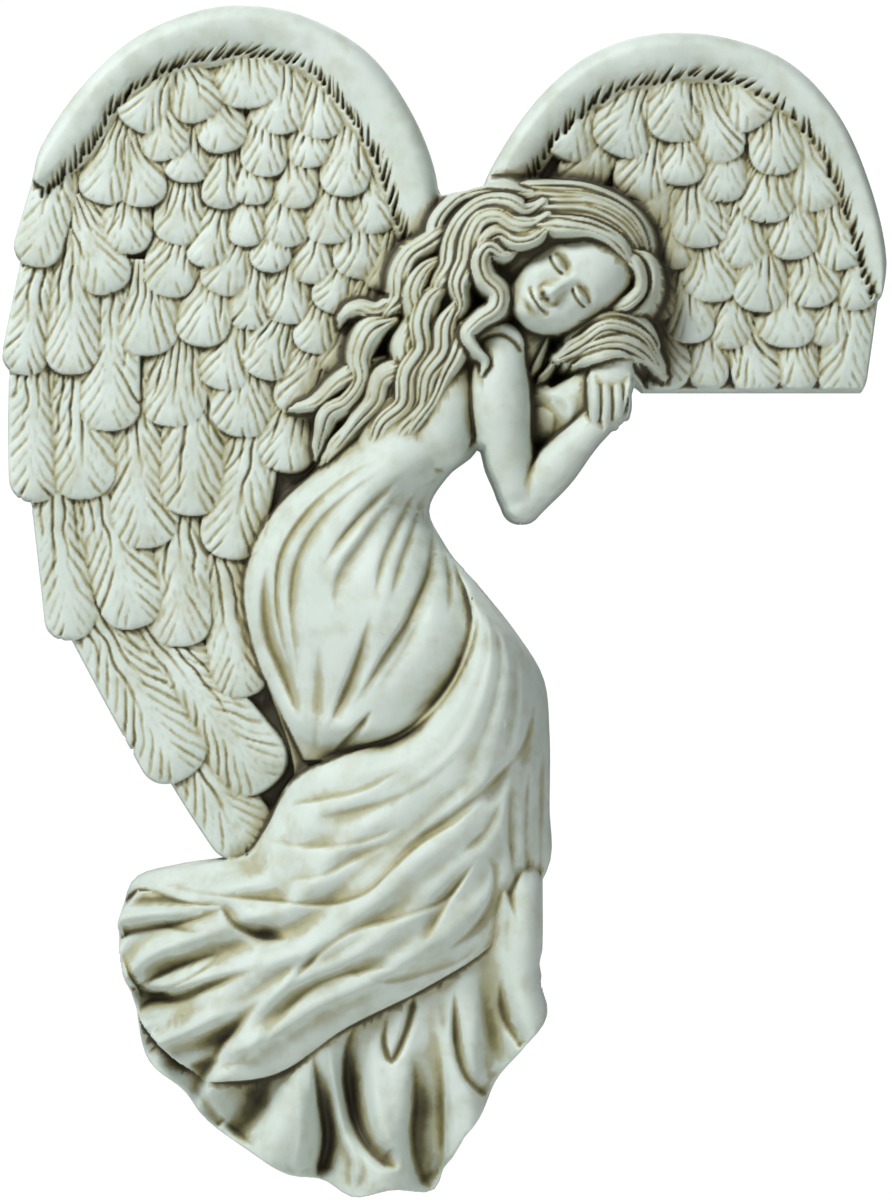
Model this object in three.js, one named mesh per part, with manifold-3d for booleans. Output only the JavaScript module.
// A cast resin angel that sits over the corner of a door frame. A sleeping figure in a long draped dress
// leans on her folded hands between two feathered wings. It is one flat-backed casting.
// Units are millimetres and +Z is up. The wall is the plane y = 0, and the front faces -Y.
// The origin is on the flat back, level with the ledge under the right wing that rests on the frame's top.
import * as THREE from "three";
import { mergeVertices } from "three/addons/utils/BufferGeometryUtils.js";
import Module from "manifold-3d";

const wasm = await Module();
wasm.setup();

// Driving sizes. A depth is measured out from the wall.
const HEIGHT = 160.8; // top of the left wing to the lowest point of the hem
const WING_PLATE = 3.6; // plate behind the feathers
const RIM_CREST = 7.4; // smooth leading edge of a wing
const RIM_EDGE = 3.2; // outer side of that edge, where it starts to round over
const FEATHER_ROOT = 0.5; // root of a feather over the plate
const FEATHER_TIP = 2.2; // tip of a feather over the plate
const SHAFT = 0.5; // shaft of a feather over its edges
const FIGURE_PLATE = 5.5; // plate behind the figure
const DRESS_CREST = 16.5; // dress over the hip
const HEM_DEPTH = 9; // middle of the flutes at the hem
const FLUTE_RISE = 2.9; // crest of a flute over that middle
const FLUTES = 7; // folds round the hem
const ARM_DEPTH = 12.5; // axis of the near arm
const HEAD_DEPTH = 11; // middle of the head
const FRAME_GAP = 0.4; // clear space between the hand and the side of the door frame

const BEHIND_WALL = -1; // every form runs this deep, and is then cut flush with the wall
const DEG = Math.PI / 180;

// A drawn point [x, z] at a depth, in the part's frame. FORM, below, scales the drawing to HEIGHT.
const at = (x, z, depth) => new THREE.Vector3(x * FORM, -depth, z * FORM);
const mix = (a, b, t) => a + (b - a) * t;
const clamp01 = (t) => Math.min(1, Math.max(0, t));
const smooth = (from, to, value) => {
  const t = clamp01((value - from) / (to - from));
  return t * t * (3 - 2 * t);
};

// Even, repeatable variation between -1 and 1 for the number of a lock.
const vary = (seed) => {
  const v = Math.sin(seed * 12.9898) * 43758.5453;
  return 2 * (v - Math.floor(v)) - 1;
};

// A smooth line through drawn points [x, z] or [x, z, depth], read at 0 to 1 along its length.
function guide(points) {
  const curve = new THREE.CatmullRomCurve3(
    points.map(([x, z, depth = 0]) => new THREE.Vector3(x, z, depth)),
    false,
    "centripetal",
  );
  return (t) => curve.getPointAt(clamp01(t));
}

// A value that follows named stops [place, value] with smooth steps between them.
function profile(stops) {
  return (t) => {
    const next = stops.findIndex(([place]) => place >= t);
    if (next <= 0) return stops[next < 0 ? stops.length - 1 : 0][1];
    const [[p0, v0], [p1, v1]] = [stops[next - 1], stops[next]];
    return mix(v0, v1, smooth(p0, p1, t));
  };
}

// A closed solid from vertices and triangles, turned to face out.
function solid(vertices, triangles) {
  let volume = 0;
  for (const [a, b, c] of triangles)
    volume += vertices[a].dot(new THREE.Vector3().crossVectors(vertices[b], vertices[c]));
  const faces = volume < 0 ? triangles.map(([a, b, c]) => [a, c, b]) : triangles;
  return new wasm.Manifold(
    new wasm.Mesh({
      numProp: 3,
      vertProperties: new Float32Array(vertices.flatMap((v) => [v.x, v.y, v.z])),
      triVerts: new Uint32Array(faces.flat()),
    }),
  );
}

// A three.js geometry as a closed solid.
function solidOf(geometry) {
  const bare = geometry.clone();
  bare.deleteAttribute("normal");
  bare.deleteAttribute("uv");
  const merged = mergeVertices(bare, 1e-4);
  return new wasm.Manifold(
    new wasm.Mesh({
      numProp: 3,
      vertProperties: merged.attributes.position.array,
      triVerts: new Uint32Array(merged.index.array),
    }),
  );
}

// Relief over a grid: front(i, j) gives the surface, and the sides run straight back through the wall.
function relief(rows, columns, front) {
  const vertices = [];
  const index = (layer, i, j) => (layer * (rows + 1) + i) * (columns + 1) + j;
  for (const layer of [0, 1])
    for (let i = 0; i <= rows; i++)
      for (let j = 0; j <= columns; j++) {
        const p = front(i / rows, j / columns);
        vertices.push(layer ? new THREE.Vector3(p.x, -BEHIND_WALL, p.z) : p);
      }
  const triangles = [];
  const quad = (a, b, c, d) => triangles.push([a, b, c], [a, c, d]);
  for (let i = 0; i < rows; i++)
    for (let j = 0; j < columns; j++) {
      quad(index(0, i, j), index(0, i, j + 1), index(0, i + 1, j + 1), index(0, i + 1, j));
      quad(index(1, i, j), index(1, i + 1, j), index(1, i + 1, j + 1), index(1, i, j + 1));
    }
  for (let i = 0; i < rows; i++)
    for (const [j, turn] of [[0, 0], [columns, 1]]) {
      const [a, b] = turn ? [i, i + 1] : [i + 1, i];
      quad(index(0, b, j), index(0, a, j), index(1, a, j), index(1, b, j));
    }
  for (let j = 0; j < columns; j++)
    for (const [i, turn] of [[0, 1], [rows, 0]]) {
      const [a, b] = turn ? [j, j + 1] : [j + 1, j];
      quad(index(0, i, b), index(0, i, a), index(1, i, a), index(1, i, b));
    }
  return solid(vertices, triangles);
}

// A rounded limb or lock along a line of points [x, z, depth], or along a function of 0 to 1. It is wide
// across the wall and thick out from it, both as half sizes with stops along the line, and solid behind.
function limb({ line, wide, thick, rows, columns }) {
  const along = typeof line === "function" ? line : guide(line);
  const [halfWide, halfThick] = [profile(wide), profile(thick)];
  return relief(rows, columns, (s, t) => {
    const here = along(s);
    const ahead = along(s + 0.5 / rows).clone().sub(along(s - 0.5 / rows));
    const across = new THREE.Vector2(-ahead.y, ahead.x).normalize();
    const out = -halfWide(s) * Math.cos(Math.PI * t);
    const depth = here.z + FORM * halfThick(s) * Math.sin(Math.PI * t);
    return at(here.x + across.x * out, here.y + across.y * out, depth);
  });
}

// A flat plate with a drawn outline, from behind the wall out to a depth.
function plate(outline, depth) {
  const shape = new THREE.Shape(outline.map(([x, z]) => new THREE.Vector2(x * FORM, z * FORM)));
  const made = new THREE.ExtrudeGeometry(shape, { depth: depth - BEHIND_WALL, bevelEnabled: false });
  return solidOf(made.rotateX(Math.PI / 2).translate(0, -BEHIND_WALL, 0));
}

// An egg shape: its middle, its half sizes across, along and out, and its lean from upright, clockwise.
function egg([x, z], depth, [across, along, out], lean, detail = 12) {
  const made = new THREE.SphereGeometry(1, detail, Math.round(detail * 0.75));
  made.scale(across * FORM, out * FORM, along * FORM).rotateY(lean * DEG);
  const middle = at(x, z, depth);
  return solidOf(made.translate(middle.x, middle.y, middle.z));
}

// One feather: a tongue with a round tip, low at its root and proud at its tip, with a raised shaft.
// Each cross row is [share of the length, share of the half width, how far the shaft runs ahead].
const FEATHER_ROWS = [[0, 0.88, 0], [0.74, 1, 0], [0.95, 0.56, 0.08]];
const HIDDEN_ROOT = 1.6; // a feather runs on this far under the ones above it
function feather([rootX, rootZ], [tx, tz], width) {
  const shown = Math.hypot(tx - rootX, tz - rootZ);
  const [ax, az] = [(tx - rootX) / shown, (tz - rootZ) / shown];
  const length = shown + HIDDEN_ROOT;
  const [bx, bz] = [rootX - ax * HIDDEN_ROOT, rootZ - az * HIDDEN_ROOT];
  return relief(FEATHER_ROWS.length - 1, 2, (s, t) => {
    const [place, share, ahead] = FEATHER_ROWS[Math.round(s * (FEATHER_ROWS.length - 1))];
    const onShaft = t === 0.5;
    const u = place + (onShaft ? ahead : 0);
    const off = share * (width / 2) * (2 * t - 1);
    const depth = WING_PLATE + mix(FEATHER_ROOT, FEATHER_TIP, u) + (onShaft ? SHAFT : 0);
    return at(bx + ax * length * u - az * off, bz + az * length * u + ax * off, depth);
  });
}

// The smooth leading edge of a wing, between its outer line and the line where the feathers start.
function rim(outer, inner, rows) {
  const [out, into] = [guide(outer), guide(inner)];
  const across = [
    [0, RIM_EDGE],
    [0.16, mix(RIM_EDGE, RIM_CREST, 0.75)],
    [0.5, RIM_CREST],
    [1, 0.81 * RIM_CREST],
  ];
  return relief(rows, across.length - 1, (s, t) => {
    const [share, depth] = across[Math.round(t * (across.length - 1))];
    const [a, b] = [out(s), into(s)];
    return at(mix(a.x, b.x, share), mix(a.y, b.y, share), depth);
  });
}

// Left wing.
const LEFT_RIM_OUTER = [
  [-55.6, 28.6], [-54.8, 32.4], [-49.4, 40.8], [-41.6, 48], [-32, 51.9], [-25.5, 52.4], [-19, 51],
  [-10.4, 46.2], [-4.6, 38.4], [-1.2, 30], [-0.4, 22],
];
const LEFT_RIM_INNER = [
  [-54, 27.6], [-49, 32.5], [-44, 39.5], [-38.5, 43.6], [-31, 45.8], [-24.5, 46.2],
  [-17.5, 43.8], [-12, 37.6], [-8, 31], [-6, 25], [-4.5, 20],
];
const LEFT_PLATE = [
  [-54, 28], [-55, 18], [-56.6, 4], [-54, -16], [-50.6, -30], [-40, -46], [-27.5, -59.4], [-20, -58],
  [-16, -30], [-2, -8], [1, 22], [-6, 36], [-20, 48], [-38, 47], [-50, 37],
];
// Roots, tips and widths of the feathers, from the back of the overlap to the front.
const LEFT_FLIGHT = [
  [[-36, -47.5], [-26.2, -61], 8.4],
  [[-39, -33], [-23.4, -53], 10.4],
  [[-48.8, -27], [-34.9, -52], 9.6],
  [[-30, -21], [-27.2, -41], 8.0],
  [[-36.5, -15], [-35.3, -34.2], 8.2],
  [[-46.6, -13], [-40.8, -31.6], 9.2],
  [[-52.9, -12], [-50.2, -33.4], 7.2],
  [[-26, -6], [-29.3, -22.4], 8.6],
  [[-33.5, -3], [-34, -16.6], 8.8],
  [[-42, -4], [-40, -21], 9.6],
  [[-49.7, 2], [-48.3, -14.4], 9.0],
  [[-55.3, 3], [-55.1, -14.8], 7.2],
  [[-45.7, 10], [-45, -5.2], 8.4],
  [[-50, 19], [-50.1, 2.4], 7.4],
  [[-54.2, 17.5], [-57, 2.4], 6.6],
  [[-52.2, 29.5], [-55.6, 17], 6.8],
];
const LEFT_COVERTS = [
  [[-37.8, 42.6], [-41.8, 35.4], 6.6], [[-34.9, 43.6], [-32.4, 36.5], 6.6], [[-26.6, 46], [-26.6, 38.2], 9.2],
  [[-22.2, 44], [-22.6, 34.7], 7.4], [[-17, 41.6], [-16.5, 34.0], 6.0],
  [[-43.6, 35.8], [-46.6, 25.5], 6.4], [[-38.6, 38], [-37, 31.2], 6.4], [[-30.5, 38.4], [-29.2, 32.3], 6.4],
  [[-23.8, 35.6], [-24.4, 29.0], 6.0], [[-18.4, 35.4], [-18, 30.2], 5.6], [[-13.2, 35], [-13.5, 26.3], 6.4],
  [[-41.4, 33], [-40, 25.0], 6.2], [[-34.4, 33.8], [-34.4, 28.2], 6.2], [[-29.4, 31], [-30.3, 24.7], 5.0],
  [[-25.6, 31], [-26, 25.2], 5.4], [[-19.8, 31], [-20.1, 24.7], 5.8], [[-15.4, 27], [-15.3, 19.9], 6.6],
  [[-10, 28.6], [-9.4, 21.3], 6.2],
  [[-43, 25.6], [-42.8, 18.6], 7.0], [[-35.2, 27], [-36, 19.9], 6.8], [[-30.5, 24.6], [-32.4, 16.8], 5.8],
  [[-26.4, 26], [-26.8, 19.6], 4.8], [[-21.4, 26], [-21.6, 19.5], 6.2], [[-10.6, 22.6], [-11.4, 15.2], 7.6],
  [[-48.6, 24.4], [-44.6, 13.4], 6.8], [[-36, 20], [-37.2, 12.8], 6.8], [[-27.8, 20.4], [-30.6, 13.2], 6.0],
  [[-23, 22], [-23.8, 16.2], 5.4], [[-17.4, 21], [-18, 14.6], 5.8], [[-8, 19.6], [-8.7, 13.6], 4.0],
  [[-40, 13.4], [-40.9, 5.0], 8.8], [[-31.8, 14.4], [-33, 6.2], 7.0], [[-25.8, 15.4], [-26.6, 8.4], 6.2],
  [[-20.4, 15.6], [-21.3, 9.2], 6.0], [[-13.4, 17], [-15.8, 10.8], 5.8], [[-10.4, 15], [-11.6, 9.4], 5.4],
  [[-28.2, 8.6], [-30.4, 0.4], 6.8], [[-22.4, 9], [-24.5, 1.8], 6.0], [[-16.4, 11.4], [-17.8, 5.2], 6.0],
  [[-13.6, 8], [-15, 2.4], 5.4],
  [[-36.2, 5], [-36.9, -4.6], 8.6], [[-26, 4], [-27.6, -6.0], 8.0], [[-17.6, 5], [-19.8, -3.4], 7.6],
  [[-20, -1], [-22.2, -10.6], 8.2],
];

// Right wing.
const RIGHT_RIM_OUTER = [
  [4, 25], [7, 31.6], [13, 40.2], [19.5, 45.6], [27.5, 48.4], [37, 48.2], [46.2, 44.9],
  [53, 38], [57.6, 28], [59.9, 18], [59.2, 12.4],
];
const RIGHT_RIM_INNER = [
  [9, 24], [12.5, 31.5], [17.5, 37.5], [22.5, 41], [29, 42.8], [36, 43.2], [43.5, 40.4],
  [50, 34.8], [54, 27], [56.6, 18.5], [58.2, 12.8],
];
const RIGHT_PLATE = [
  [6, 26], [12, 37], [21, 43], [30, 46], [40, 45], [49, 40], [55, 31], [58, 18], [57, 8], [54.6, 1.4],
  [52, -1], [24, -1], [10, 12],
];
const RIGHT_FLIGHT = [[[55.6, 15], [52.9, -0.8], 6.3]];
const RIGHT_COVERTS = [
  [[19.6, 40], [15.8, 31.4], 6.8], [[27.2, 42.8], [23.2, 31.8], 8.0], [[31.6, 43.4], [31.2, 33.6], 7.4],
  [[35.8, 40.4], [37.4, 30.8], 7.4], [[38, 43], [42.2, 35.6], 6.8], [[44, 39.2], [45, 29.2], 6.8],
  [[21.4, 35], [17.4, 27.2], 6.4], [[28, 33.4], [26.2, 25.8], 7.8], [[31.9, 34.8], [31.8, 27.8], 6.2],
  [[37.6, 32.6], [37.4, 25.6], 6.4], [[43.6, 31], [43.2, 22.8], 7.0], [[47.4, 36], [51.2, 24.6], 8.2],
  [[30.4, 28.6], [27.4, 22.6], 6.4], [[34, 28.6], [34.8, 19.4], 7.4], [[40.2, 25], [40.3, 16.6], 7.4],
  [[46.4, 26.4], [47.4, 17.9], 6.6], [[51.8, 25.6], [54.2, 16.6], 6.4],
  [[30.8, 24], [31.8, 16.6], 5.6], [[36, 20.6], [36.2, 12.1], 7.2], [[43.2, 19.4], [42.2, 10.8], 7.4],
  [[49.2, 19.2], [49.8, 11.4], 6.8], [[55, 18.4], [55.4, 11], 5.2],
  [[28, 18], [28.8, 9.6], 5.6], [[33, 14.4], [33.2, 6.6], 6.4], [[38.4, 14], [38, 5.8], 6.2],
  [[46.4, 13], [45.8, 6.0], 7.6], [[52.4, 13.6], [51.6, 6.1], 6.6],
  [[28.2, 9], [30.6, 0.4], 6.4], [[35.6, 8], [35.6, 0.6], 5.0], [[40.4, 8], [43, 0.0], 6.4],
  [[47.4, 7.6], [47.8, 0.4], 5.6], [[53.8, 7.4], [53.0, 0.0], 5.8],
];

function wing({ outer, inner, outline, feathers, steps }) {
  return [
    plate(outline, WING_PLATE),
    rim(outer, inner, steps),
    ...feathers.map(([root, tip, width]) => feather(root, tip, width)),
  ];
}

// Cloth drawn between two lines that run with its folds. A fold is [place at the start, place at the
// end, half width, height], with places from the first line to the second.
function cloth({ first, second, rows, columns, edges, crest, folds, grow, belly = 0.6 }) {
  const [a, b] = [guide(first), guide(second)];
  const BACK = 0.09 * DRESS_CREST; // no cloth comes nearer to the wall than this
  return relief(rows, columns, (s, t) => {
    const [p, q] = [a(s), b(s)];
    const bulge = Math.sin(Math.PI * clamp01(t));
    const low = mix(edges[0](s), edges[1](s), 0.5);
    let depth = mix(edges[0](s), edges[1](s), t) + (crest(s) - low) * bulge ** belly;
    for (const [start, end, half, height] of folds) {
      const off = (t - mix(start, end, s)) / half;
      depth += FORM * height * grow(s) * Math.exp(-off * off) * bulge ** 0.25;
    }
    return at(mix(p.x, q.x, t), mix(p.y, q.y, t), Math.max(depth, BACK));
  });
}

// The dress from the bust over the belly to the gathered fold at the left hip. Its depths are shares
// of the crest over the hip.
const BODICE_EDGE = profile([[0, 0.45 * DRESS_CREST], [0.25, 0.26 * DRESS_CREST], [1, 0.36 * DRESS_CREST]]);
const WAIST_EDGE = profile([
  [0, 0.5 * DRESS_CREST], [0.3, 0.2 * DRESS_CREST], [0.5, 0.3 * DRESS_CREST], [0.62, 0.72 * DRESS_CREST],
  [1, 0.5 * DRESS_CREST],
]);
const BODICE_CREST = profile([
  [0, 0.72 * DRESS_CREST], [0.3, 0.93 * DRESS_CREST], [0.6, DRESS_CREST], [0.85, 0.78 * DRESS_CREST],
  [1, 0.45 * DRESS_CREST],
]);
const bodice = () =>
  cloth({
    first: [[-9, -1], [-16, -9.5], [-23, -16.5], [-26.6, -25], [-25.4, -34.5], [-21.8, -43], [-18.6, -49.5]],
    second: [
      [3.4, -1], [4.5, -7.6], [0.6, -11.2], [-2, -15.8], [0.2, -20.6], [4.2, -27], [2.8, -36], [-3.4, -44.6],
      [-14, -49.6],
    ],
    rows: 9,
    columns: 12,
    edges: [BODICE_EDGE, WAIST_EDGE],
    crest: BODICE_CREST,
    folds: [
      [0.15, 0.14, 0.055, 1.6], [0.32, 0.33, 0.06, 1.4], [0.5, 0.56, 0.06, 1.3],
      [0.67, 0.76, 0.055, 1.6], [0.84, 0.92, 0.05, 1.2],
    ],
    grow: profile([[0, 0.2], [0.2, 1], [0.8, 1], [1, 1.3]]),
  });

// The skirt that wraps the right hip and sweeps down to the hem at the left.
const SKIRT_TOP_EDGE = profile([
  [0, 0.55 * DRESS_CREST], [0.2, 0.66 * DRESS_CREST], [0.45, 0.58 * DRESS_CREST], [0.75, 0.28 * DRESS_CREST],
  [1, 0.2 * DRESS_CREST],
]);
const SKIRT_LOW_EDGE = profile([[0, 0.18 * DRESS_CREST], [0.42, 0.2 * DRESS_CREST], [0.6, 0.64 * DRESS_CREST]]);
const SKIRT_CREST = profile([
  [0, 0.6 * DRESS_CREST], [0.25, DRESS_CREST], [0.6, 0.92 * DRESS_CREST], [1, 0.7 * DRESS_CREST],
]);
const skirt = () =>
  cloth({
    first: [
      [3.4, -24.5], [3.8, -31], [1, -39], [-5, -45.5], [-14, -49.2], [-20, -52.5], [-23.8, -58.6],
      [-26.6, -62.2], [-30, -62.8], [-36, -63.7], [-41.8, -65.6], [-43.7, -71],
    ],
    second: [
      [4.4, -25.6], [9.8, -32.4], [13.5, -38.6], [14.3, -46], [14.3, -56], [14.4, -64], [7, -73.5],
      [-3, -80], [-13, -85], [-22, -91], [-32, -92.5],
    ],
    rows: 12,
    columns: 13,
    edges: [SKIRT_TOP_EDGE, SKIRT_LOW_EDGE],
    crest: SKIRT_CREST,
    folds: [
      [0.14, 0.16, 0.06, 1.6], [0.29, 0.33, 0.05, 1.4], [0.41, 0.45, 0.045, -1.2], [0.53, 0.58, 0.055, 1.8],
      [0.7, 0.7, 0.05, 1.5], [0.86, 0.84, 0.045, 1.5],
    ],
    grow: profile([[0, 0.3], [0.3, 0.8], [1, 1.7]]),
  });

// The fan of the hem: its flutes run from under the skirt out to the scalloped hem.
const HEM_LINE = [
  [-41, -67], [-43.6, -71], [-42.6, -77], [-41.6, -83], [-40, -90], [-35.4, -94], [-31.6, -98.6], [-26, -102.4],
  [-21, -105.4], [-16.4, -106.2], [-12.4, -108.4], [-7, -107.4], [-1.4, -107.6], [0.6, -103], [4.8, -97.8],
  [7.2, -92.6], [10.8, -88.4], [14, -84], [12.8, -79],
];

// The free form is drawn point by point, and follows HEIGHT.
const highest = Math.max(...LEFT_RIM_OUTER.map(([, z]) => z));
const lowest = Math.min(...HEM_LINE.map(([, z]) => z));
const FORM = HEIGHT / (highest - lowest);

const KNEE_LINE = [[-28, -68], [-14, -76], [0, -74], [9, -66]];
function hem() {
  const [low, high] = [guide(HEM_LINE), guide(KNEE_LINE)];
  const SIDE = 0.22 * HEM_DEPTH; // how far the fan falls back at its two sides
  return relief(3, 32, (s, t) => {
    const [p, q] = [high(t), low(t)];
    const wave = Math.sin(2 * Math.PI * FLUTES * t + 1.1 * Math.sin(5 * t));
    const depth = mix(0.68 * DRESS_CREST, HEM_DEPTH, s) + FLUTE_RISE * smooth(0.1, 0.9, s) * wave;
    return at(mix(p.x, q.x, s), mix(p.y, q.y, s), depth - SIDE * smooth(0.93, 1, Math.abs(2 * t - 1)));
  });
}

// The smooth side of the underskirt that shows below the hip at the right.
const shin = () =>
  limb({
    line: [[10.4, -60, 0.78 * HEM_DEPTH], [10.4, -70, 0.78 * HEM_DEPTH], [10.4, -84, 0.67 * HEM_DEPTH]],
    wide: [[0, 2], [0.2, 2.8], [0.8, 2.8], [1, 2]],
    thick: [[0, 4.5]],
    rows: 3,
    columns: 4,
  });

const torso = () => [
  egg([0.4, -1.4], 0.58 * DRESS_CREST, [4.6, 9, 5], 4, 8),
  egg([-5, -5], 0.5 * DRESS_CREST, [8, 8, 5.4], 30, 8),
];

// The near arm from shoulder to wrist, and the far arm behind it.
const arms = () => [
  limb({
    line: [
      [6.8, 9.6, 0.84 * ARM_DEPTH], [7.2, 3, ARM_DEPTH], [8, -6, ARM_DEPTH], [9.4, -13.6, 0.95 * ARM_DEPTH],
      [10.2, -17.6, 0.88 * ARM_DEPTH],
    ],
    wide: [[0, 2.4], [0.12, 3.5], [0.35, 4], [0.7, 3.6], [0.88, 3], [1, 1.6]],
    thick: [[0, 2], [0.12, 3.5], [0.4, 4], [0.88, 3], [1, 1.4]],
    rows: 6,
    columns: 5,
  }),
  limb({
    line: [
      [10, -17, 0.89 * ARM_DEPTH], [13.4, -12.4, ARM_DEPTH], [17.2, -7.8, 1.03 * ARM_DEPTH],
      [21.4, -2.8, 1.02 * ARM_DEPTH],
    ],
    wide: [[0, 1.4], [0.14, 2.5], [0.4, 2.9], [0.85, 2.3], [1, 1.8]],
    thick: [[0, 1], [0.14, 2.5], [0.4, 2.9], [0.85, 2.2], [1, 1.4]],
    rows: 5,
    columns: 5,
  }),
  limb({
    line: [
      [10, 1, 0.52 * ARM_DEPTH], [13.5, -3.5, 0.64 * ARM_DEPTH], [17.5, -2.5, 0.76 * ARM_DEPTH],
      [21, 1.5, 0.88 * ARM_DEPTH],
    ],
    wide: [[0, 3.4]],
    thick: [[0, 3.2]],
    rows: 4,
    columns: 4,
  }),
];

// The folded hands, with four fingers that point down, each drawn as [x, z of its end].
const FINGERS = [[19.9, -5.4], [21.4, -6], [22.9, -5.2], [24.4, -3.9]];
const hands = () => [
  limb({
    line: [[22.4, 4.5, 1.05 * ARM_DEPTH], [22.3, 1.4, 1.05 * ARM_DEPTH], [22.1, -2, 1.05 * ARM_DEPTH]],
    wide: [[0, 2.2], [0.4, 3.6], [1, 2.8]],
    thick: [[0, 1.4], [0.4, 2.6], [1, 2]],
    rows: 3,
    columns: 4,
  }),
  ...FINGERS.map(([x, foot]) =>
    limb({
      line: [[x, 2.6, 1.16 * ARM_DEPTH], [x + 0.2, -1.5, 1.21 * ARM_DEPTH], [x + 0.1, foot, 1.08 * ARM_DEPTH]],
      wide: [[0, 0.7], [0.2, 0.95], [0.85, 0.85], [1, 0.5]],
      thick: [[0, 0.9], [0.2, 1.2], [0.85, 1], [1, 0.5]],
      rows: 3,
      columns: 2,
    }),
  ),
];

// The head leans over to the right. A face point is [across, up] from the head's middle.
const HEAD = [16.4, 14.3];
const HEAD_LEAN = 56;
const facePoint = (across, up) => {
  const turn = HEAD_LEAN * DEG;
  return [
    HEAD[0] + across * Math.cos(turn) + up * Math.sin(turn),
    HEAD[1] - across * Math.sin(turn) + up * Math.cos(turn),
  ];
};
const head = () => {
  const front = (out = 0) => HEAD_DEPTH + FORM * (6.4 + out);
  return [
    egg(facePoint(0, 1.2), HEAD_DEPTH, [6.3, 7.4, 6.8], HEAD_LEAN, 12),
    egg(facePoint(0, -3), HEAD_DEPTH, [4.9, 5.4, 6.1], HEAD_LEAN, 8),
    limb({
      line: [
        [...facePoint(0, 1), front(-1)], [...facePoint(0, -1.6), front(0.5)], [...facePoint(0, -2.2), front(-1)],
      ],
      wide: [[0, 0.5], [0.6, 0.9], [1, 0.7]],
      thick: [[0, 0.9]],
      rows: 3,
      columns: 2,
    }),
    ...[-1, 1].map((side) => egg(facePoint(side * 2.5, 0.3), front(-1.1), [1.5, 0.8, 0.7], HEAD_LEAN, 6)),
    egg(facePoint(0, -4.3), front(-1.1), [1.5, 0.7, 0.8], HEAD_LEAN, 6),
    limb({
      line: [[12.5, 10, 0.73 * HEAD_DEPTH], [9.5, 5.5, 0.73 * HEAD_DEPTH], [6, 3, 0.73 * HEAD_DEPTH]],
      wide: [[0, 3.4]],
      thick: [[0, 3.4]],
      rows: 3,
      columns: 4,
    }),
  ];
};

// Locks of hair between two edge lines [x, z, level], with a wave that grows along each lock. Level 0
// is the wing's plate and level 1 is the middle of the head.
function locks({ first, second, count, wide, thick, wave = 0, waves = 0, rows, seed }) {
  const [a, b] = [guide(first), guide(second)];
  return Array.from({ length: count }, (_, i) => {
    const t = count > 1 ? i / (count - 1) : 0.5;
    const start = vary(seed + i);
    const size = 1 + 0.2 * vary(seed + i + 60);
    const line = (s) => {
      const [p, q] = [a(s), b(s)];
      const swing = wave * smooth(0, 0.25, s) * Math.sin(2 * Math.PI * waves * s + start);
      const level = mix(WING_PLATE, HEAD_DEPTH, mix(p.z, q.z, t));
      const apart = FORM * (0.7 * vary(seed + i + 20) - 0.25 * Math.abs(swing));
      return new THREE.Vector3(mix(p.x, q.x, t) + swing, mix(p.y, q.y, t) + 0.4 * swing, level + apart);
    };
    return limb({
      line,
      wide: [[0, wide * 0.7], [0.3, wide * size], [0.8, wide * size * 0.8], [1, 0.3]],
      thick: [[0, thick * 0.7], [0.3, thick], [0.8, thick * 0.8], [1, 0.3]],
      rows,
      columns: 2,
    });
  });
}

// One lock that runs down its own line.
const lock = ({ line, ...rest }) => locks({ first: line, second: line, count: 1, ...rest });

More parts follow.
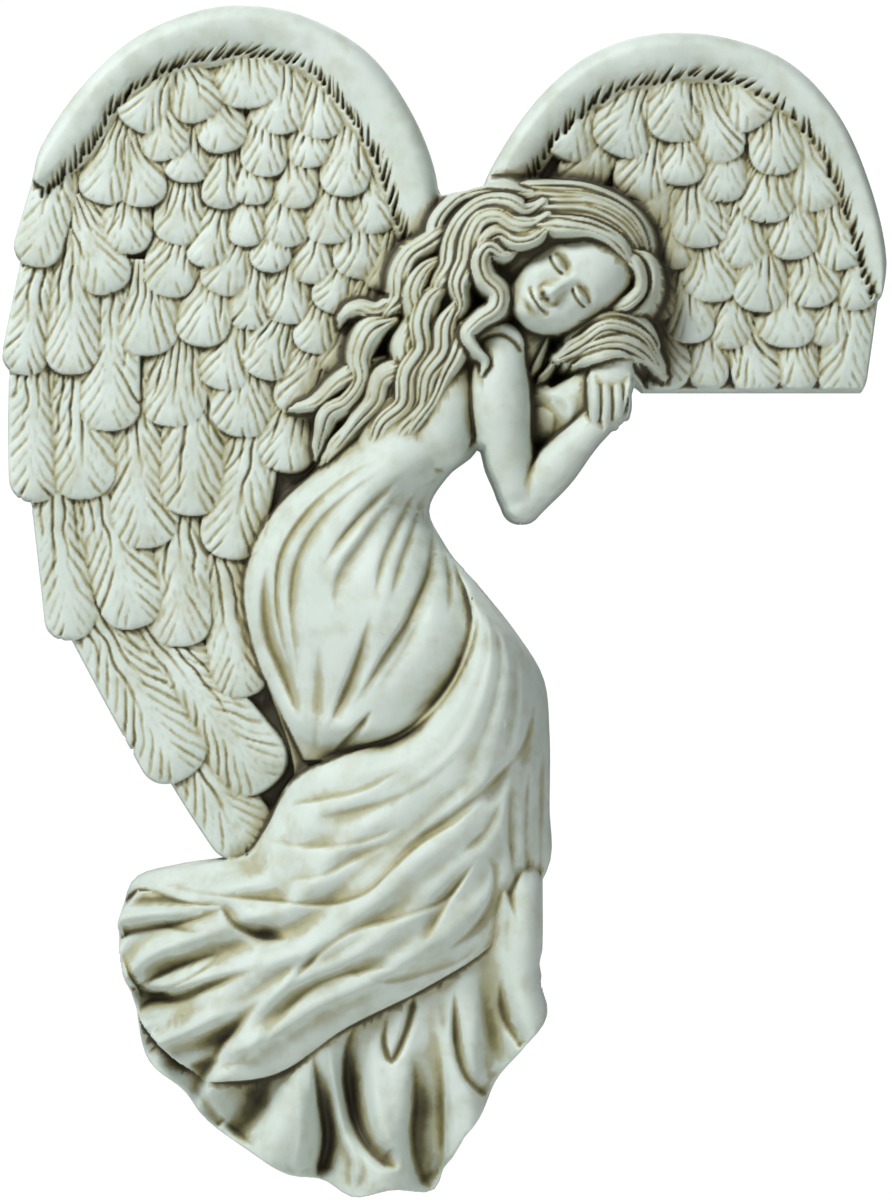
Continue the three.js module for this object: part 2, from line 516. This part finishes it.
const CAP = [
  { middle: [14.4, 18.6], level: 0.75, half: [10.8, 8, 6.6], lean: 18 },
  { middle: [2.4, 21.6], level: 0.4, half: [5.5, 5, 4.4], lean: 0 },
];
const hair = () => [
  ...CAP.map(({ middle, level, half, lean }) => egg(middle, mix(WING_PLATE, HEAD_DEPTH, level), half, lean, 8)),
  // crown, swept over to the right
  ...locks({
    first: [[8, 25.6, 1.2], [15, 26.4, 1.3], [23, 23.2, 1.25], [27.4, 17.4, 1]],
    second: [[12, 21.8, 1.7], [17, 21, 1.8], [21.6, 19.6, 1.65], [24.6, 16.8, 1.35]],
    count: 3, wide: 1.9, thick: 1.6, rows: 4, seed: 201,
  }),
  // over the brow, swept to the left
  ...locks({
    first: [[13.5, 25, 1.45], [7, 25.4, 1.25], [2.2, 22, 1.1], [-1, 18, 1]],
    second: [[13, 21.6, 1.8], [9.4, 19.6, 1.65], [6, 20.5, 1.5], [3.4, 16.5, 1.35]],
    count: 3, wide: 1.7, thick: 1.6, wave: 0.6, waves: 1.2, rows: 5, seed: 211,
  }),
  // long waves down the back and over the wing
  ...locks({
    first: [[1, 20, 0.9], [-4, 16, 0.8], [-6.4, 10, 0.7], [-9, 3, 0.65], [-12.5, -4, 0.6], [-16, -9, 0.5]],
    second: [[6, 19, 1.4], [4.6, 13, 1.45], [1, 7, 1.4], [-1, 0, 1.35], [-5, -5, 1.2], [-11, -9.4, 0.9]],
    count: 5, wide: 2.1, thick: 2, wave: 1, waves: 2.2, rows: 8, seed: 221,
  }),
  ...locks({
    first: [[-2, 18, 0.68], [-6.5, 14, 0.6], [-9, 9, 0.5], [-13, 10.4, 0.5]],
    second: [[-4, 8, 0.6], [-9, 2, 0.6], [-14, 0.6, 0.55], [-20.5, -2.6, 0.5]],
    count: 2, wide: 1.5, thick: 1.4, wave: 0.6, waves: 1.5, rows: 5, seed: 241,
  }),
  // down over the near shoulder
  ...lock({
    line: [[5.4, 19, 1.55], [5, 15.4, 1.6], [7.4, 12, 1.6], [4, 8.6, 1.7], [2.8, 6.4, 1.7], [5.4, 1.6, 1.6]],
    wide: 1, thick: 1.2, rows: 7, seed: 251,
  }),
  // under the cheek and over the hands to the wing
  ...locks({
    first: [[14, 3.4, 0.85], [18, 5, 1.3], [23, 5.2, 1.5], [27, 4, 1.2], [30, 1.6, 0.8]],
    second: [[12, 1, 0.7], [17.6, 9, 1.1], [22, 9.8, 1.3], [26, 8.4, 1.1], [29.4, 5, 0.75]],
    count: 3, wide: 1.3, thick: 1.4, rows: 5, seed: 261,
  }),
  // round the temple
  ...lock({
    line: [[24.2, 17.6, 1.35], [26.6, 15.8, 1.25], [26.4, 12.5, 1.2], [23.8, 11, 1.2], [20.5, 10.5, 1.2]],
    wide: 1.1, thick: 1.3, rows: 6, seed: 271,
  }),
];

// The plate behind the figure, which ties every form together.
const FIGURE_OUTLINE = [
  [-0.6, 26.8], [4.4, 27.2], [14, 25], [25, 20], [27, 8], [25, 0.5], [21, -5.4], [14, -13.6], [10.6, -16.6],
  [8, -13], [4.6, -7.4], [0, -10.5], [-2.2, -16], [3, -26], [12, -36.5], [13.4, -44], [13.4, -64], [12.4, -82],
  [6, -94], [-1, -105.6], [-12, -107], [-29, -98], [-39.4, -88], [-42, -72], [-40, -66], [-24.6, -63],
  [-20, -53], [-25.5, -33], [-25, -21], [-14, -8], [-8, 8], [-5, 18],
];

function ornament() {
  const forms = [
    ...wing({
      outer: LEFT_RIM_OUTER, inner: LEFT_RIM_INNER, outline: LEFT_PLATE,
      feathers: [...LEFT_FLIGHT, ...LEFT_COVERTS], steps: 14,
    }),
    ...wing({
      outer: RIGHT_RIM_OUTER, inner: RIGHT_RIM_INNER, outline: RIGHT_PLATE,
      feathers: [...RIGHT_FLIGHT, ...RIGHT_COVERTS], steps: 13,
    }),
    plate(FIGURE_OUTLINE, FIGURE_PLATE),
    hem(),
    shin(),
    skirt(),
    bodice(),
    ...torso(),
    ...arms(),
    ...hands(),
    ...head(),
    ...hair(),
  ];
  const joined = forms.reduce((sum, form) => sum.add(form));
  // A pocket sealed in between the forms is a skin of its own that faces inwards. A casting has it filled.
  const whole = joined
    .decompose()
    .filter((skin) => skin.volume() > 0)
    .reduce((sum, skin) => sum.add(skin));
  const REACH = 2 * HEIGHT;
  const wall = new THREE.BoxGeometry(REACH, REACH, REACH).translate(0, REACH / 2, 0);
  const handEdge = Math.max(...hands().map((form) => form.boundingBox().max[0]));
  const frame = new THREE.BoxGeometry(REACH, REACH, REACH);
  frame.translate(handEdge + FRAME_GAP + REACH / 2, 0, -REACH / 2);
  return whole.subtract(solidOf(wall)).subtract(solidOf(frame));
}

function geometryOf(made) {
  const { vertProperties, triVerts } = made.getMesh();
  const geometry = new THREE.BufferGeometry();
  geometry.setAttribute("position", new THREE.BufferAttribute(vertProperties, 3));
  geometry.setIndex(new THREE.BufferAttribute(triVerts, 1));
  geometry.computeVertexNormals();
  return geometry;
}

const resin = new THREE.MeshStandardMaterial({ color: 0xc9d0c4, roughness: 0.62, metalness: 0 });
const angel = new THREE.Mesh(geometryOf(ornament()), resin);
angel.name = "angel_ornament";

const group = new THREE.Group();
group.add(angel);

export default group;
